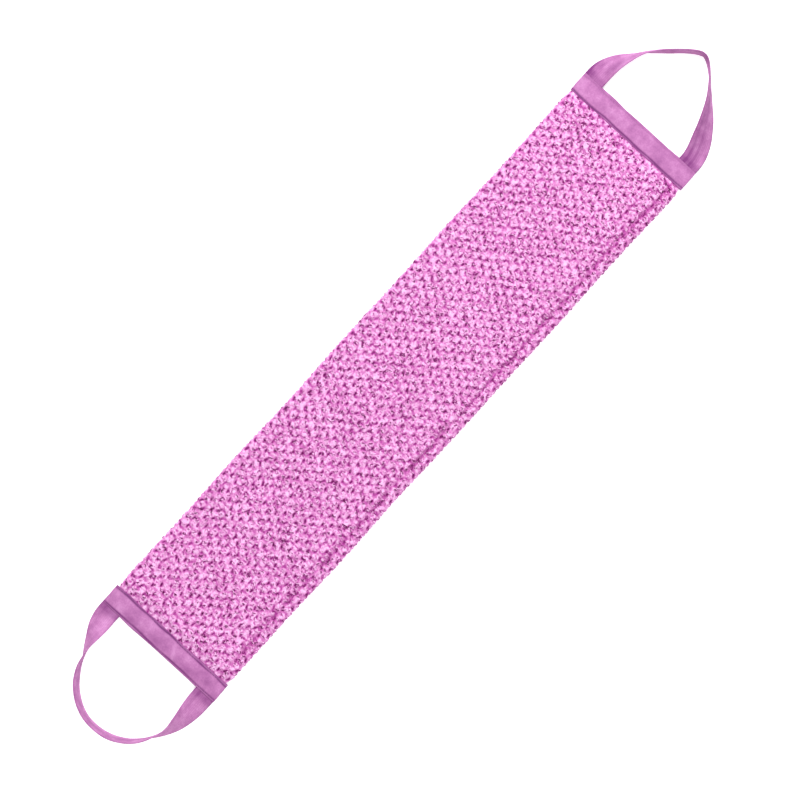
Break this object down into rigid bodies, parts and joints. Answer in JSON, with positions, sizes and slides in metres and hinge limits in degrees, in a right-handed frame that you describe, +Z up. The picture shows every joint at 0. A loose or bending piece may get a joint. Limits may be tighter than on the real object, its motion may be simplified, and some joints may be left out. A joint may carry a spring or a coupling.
{
  "type": "back scrubber strap",
  "caption": "Knitted exfoliating strap for scrubbing the back, with a sewn tape header and a ribbon hand loop at each end.",
  "frame": {"origin": "on the floor under the middle of the whole object's box, hand loops included, the strap lying flat on its back", "axes": "+X along the strap towards the pointed hand loop, +Y across it towards the folded long edge, +Z up out of the front face"},
  "size_m": [0.7998, 0.131, 0.0205],
  "materials": {
    "knit": "fuzzy terry knit",
    "seam_thread": "spun thread",
    "header_tape": "plain-weave tape",
    "header_thread": "spun thread",
    "loop_ribbon": "plain-weave tape"
  },
  "bodies": {
    "strap_length_1": {"knit_sleeve_1": "knit", "side_seam_thread_1": "seam_thread", "left_front_header_tape": "header_tape", "left_back_header_tape": "header_tape", "left_loop_ends": "loop_ribbon", "left_outer_needle_stitches": "header_thread", "left_outer_bobbin_stitches": "header_thread", "left_inner_needle_stitches": "header_thread", "left_inner_bobbin_stitches": "header_thread"},
    "strap_length_2": {"knit_sleeve_2": "knit", "side_seam_thread_2": "seam_thread"},
    "strap_length_3": {"knit_sleeve_3": "knit", "side_seam_thread_3": "seam_thread"},
    "strap_length_4": {"knit_sleeve_4": "knit", "side_seam_thread_4": "seam_thread"},
    "strap_length_5": {"knit_sleeve_5": "knit", "side_seam_thread_5": "seam_thread"},
    "strap_length_6": {"knit_sleeve_6": "knit", "side_seam_thread_6": "seam_thread"},
    "strap_length_7": {"knit_sleeve_7": "knit", "side_seam_thread_7": "seam_thread"},
    "strap_length_8": {"knit_sleeve_8": "knit", "side_seam_thread_8": "seam_thread"},
    "strap_length_9": {"knit_sleeve_9": "knit", "side_seam_thread_9": "seam_thread", "right_front_header_tape": "header_tape", "right_back_header_tape": "header_tape", "right_loop_ends": "loop_ribbon", "right_outer_needle_stitches": "header_thread", "right_outer_bobbin_stitches": "header_thread", "right_inner_needle_stitches": "header_thread", "right_inner_bobbin_stitches": "header_thread"},
    "left_loop": {"left_hand_loop": "loop_ribbon"},
    "right_loop": {"right_hand_loop": "loop_ribbon"}
  },
  "joints": [
    {"name": "strap_bend_1", "type": "hinge", "parent": "strap_length_2", "child": "strap_length_1", "pos_m": [-0.22617, 0, 0.0045], "axis": [0, 1, 0], "range_deg": [-30, 30]},
    {"name": "strap_bend_2", "type": "hinge", "parent": "strap_length_3", "child": "strap_length_2", "pos_m": [-0.16083, 0, 0.0045], "axis": [0, 1, 0], "range_deg": [-30, 30]},
    {"name": "strap_bend_3", "type": "hinge", "parent": "strap_length_4", "child": "strap_length_3", "pos_m": [-0.0955, 0, 0.0045], "axis": [0, 1, 0], "range_deg": [-30, 30]},
    {"name": "strap_bend_4", "type": "hinge", "parent": "strap_length_5", "child": "strap_length_4", "pos_m": [-0.03017, 0, 0.0045], "axis": [0, 1, 0], "range_deg": [-30, 30]},
    {"name": "strap_bend_5", "type": "hinge", "parent": "strap_length_5", "child": "strap_length_6", "pos_m": [0.03517, 0, 0.0045], "axis": [0, -1, 0], "range_deg": [-30, 30]},
    {"name": "strap_bend_6", "type": "hinge", "parent": "strap_length_6", "child": "strap_length_7", "pos_m": [0.1005, 0, 0.0045], "axis": [0, -1, 0], "range_deg": [-30, 30]},
    {"name": "strap_bend_7", "type": "hinge", "parent": "strap_length_7", "child": "strap_length_8", "pos_m": [0.16583, 0, 0.0045], "axis": [0, -1, 0], "range_deg": [-30, 30]},
    {"name": "strap_bend_8", "type": "hinge", "parent": "strap_length_8", "child": "strap_length_9", "pos_m": [0.23117, 0, 0.0045], "axis": [0, -1, 0], "range_deg": [-30, 30]},
    {"name": "left_loop_fold", "type": "hinge", "parent": "strap_length_1", "child": "left_loop", "pos_m": [-0.3137, 0, 0.00385], "axis": [0, 1, 0], "range_deg": [-95, 95]},
    {"name": "right_loop_fold", "type": "hinge", "parent": "strap_length_9", "child": "right_loop", "pos_m": [0.3187, 0, 0.00385], "axis": [0, -1, 0], "range_deg": [-95, 95]}
  ]
}
